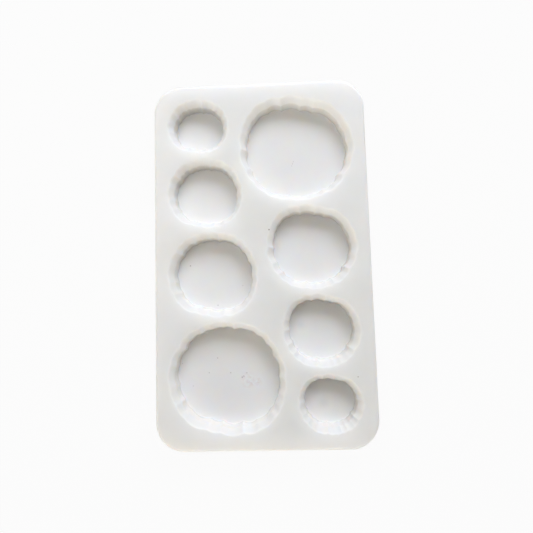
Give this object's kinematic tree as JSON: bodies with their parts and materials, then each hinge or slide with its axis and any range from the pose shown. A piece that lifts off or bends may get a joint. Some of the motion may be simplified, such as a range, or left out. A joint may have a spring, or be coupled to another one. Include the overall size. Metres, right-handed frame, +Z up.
{
  "type": "resin casting mould",
  "caption": "Soft rectangular silicone slab with wavy-edged round cavities in graded sizes, for casting thin resin slices such as agate coasters.",
  "frame": {"origin": "middle of the flat underside", "axes": "+Z up, out of the cavities; +Y along the slab, towards the end with the largest right cavity"},
  "size_m": [0.096, 0.1636, 0.0096],
  "materials": {
    "silicone": "satin, milky translucent"
  },
  "bodies": {
    "root": {"mould_slab": "silicone"}
  },
  "joints": []
}
